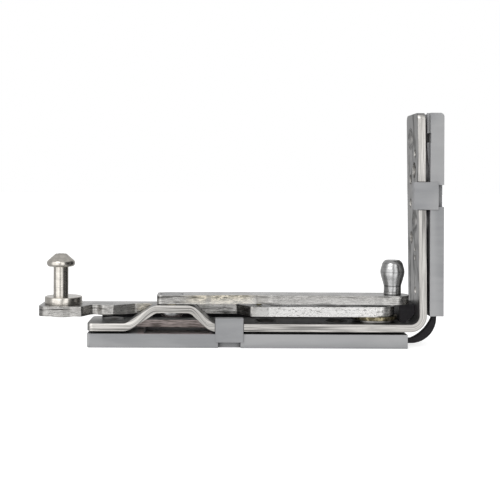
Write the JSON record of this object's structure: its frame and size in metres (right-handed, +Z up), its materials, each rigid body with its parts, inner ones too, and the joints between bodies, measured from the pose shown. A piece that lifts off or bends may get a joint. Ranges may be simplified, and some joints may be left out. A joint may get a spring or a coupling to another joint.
{
  "type": "concealed window corner hinge",
  "caption": "Frame-side corner hinge for a tilt-and-turn window: L-shaped steel bracket on plastic spacers, with two stacked swing links that carry upright pins.",
  "frame": {"origin": "axis of the long arm's rivet, at the underside of the horizontal spacer", "axes": "+X along the sill towards the corner, +Y away from the viewer, into the depth of the frame, +Z up along the jamb"},
  "size_m": [0.1627, 0.0225, 0.0945],
  "materials": {
    "zinc_steel": "bright zinc plate",
    "arm_steel": "zinc plate with rough sheared edges",
    "pin_steel": "turned and polished",
    "nickel_pin": "turned, warm nickel plate",
    "yellow_bush": "satin",
    "grey_plastic": "moulded, matte",
    "black_rubber": "matte",
    "amber_polymer": "semi-gloss"
  },
  "bodies": {
    "frame_side": {"corner_bracket": "zinc_steel", "horizontal_spacer": "grey_plastic", "vertical_spacer": "grey_plastic", "corner_strap": "black_rubber", "back_rail": "black_rubber", "corner_stop": "black_rubber", "long_arm_rivet": "zinc_steel", "long_arm_washer": "zinc_steel", "short_arm_rivet": "zinc_steel"},
    "long_link": {"long_arm": "arm_steel", "long_arm_bush": "yellow_bush"},
    "short_link": {"short_arm": "arm_steel", "short_arm_bush": "yellow_bush", "ball_pin": "pin_steel", "glide_button": "amber_polymer"},
    "adjuster": {"eccentric_pin": "nickel_pin", "eccentric_washer": "zinc_steel"}
  },
  "joints": [
    {"name": "long_arm_swing", "type": "hinge", "parent": "frame_side", "child": "long_link", "pos_m": [0, 0, 0.0142], "axis": [0, 0, -1], "range_deg": [0, 98]},
    {"name": "short_arm_swing", "type": "hinge", "parent": "frame_side", "child": "short_link", "pos_m": [-0.083, -0.0048, 0.01905], "axis": [0, 0, 1], "range_deg": [0, 80]},
    {"name": "adjuster_turn", "type": "hinge", "parent": "long_link", "child": "adjuster", "pos_m": [-0.1278, 0, 0.0142], "axis": [0, 0, 1], "range_deg": [-90, 90]}
  ]
}
